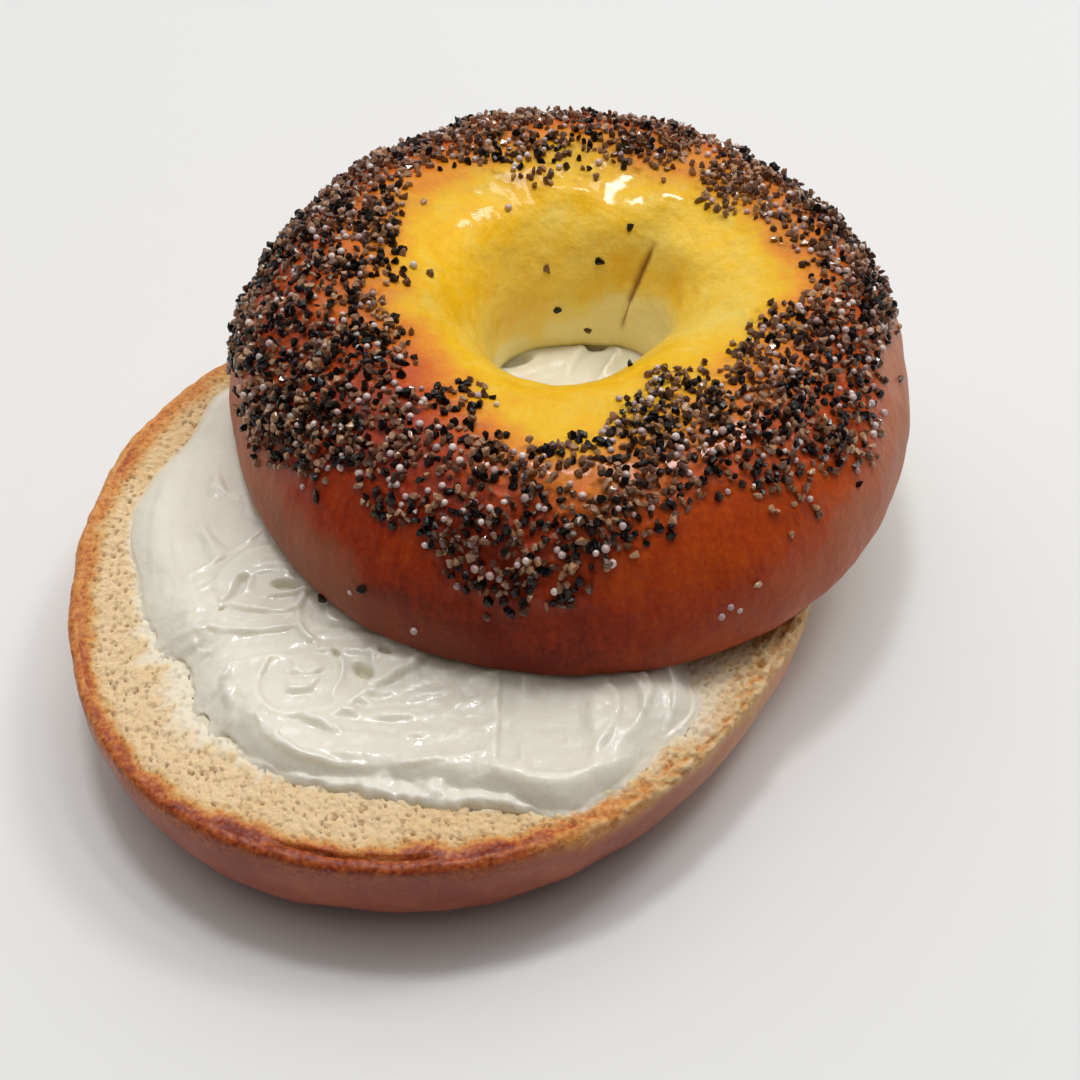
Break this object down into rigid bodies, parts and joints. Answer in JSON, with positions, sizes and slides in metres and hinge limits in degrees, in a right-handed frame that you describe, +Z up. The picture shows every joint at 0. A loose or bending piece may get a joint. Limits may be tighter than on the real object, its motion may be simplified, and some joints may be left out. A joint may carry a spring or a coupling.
{
  "type": "bagel",
  "caption": "Seeded bagel cut in half and spread with soft cheese, its top half slid back so that part of the spread and of the crumb shows.",
  "frame": {"origin": "on the table, under the middle of the whole bagel's bounding box", "axes": "+Z up; +Y towards the side that the top half has slid to, -Y the front, where the spread is bare; +X to the right seen from the front"},
  "size_m": [0.1189, 0.133, 0.0462],
  "materials": {
    "crust": "glossy",
    "bread": "matte",
    "spread": "satin"
  },
  "bodies": {
    "root": {"bottom_half": "bread", "cheese_spread": "spread", "top_half": "crust"}
  },
  "joints": []
}
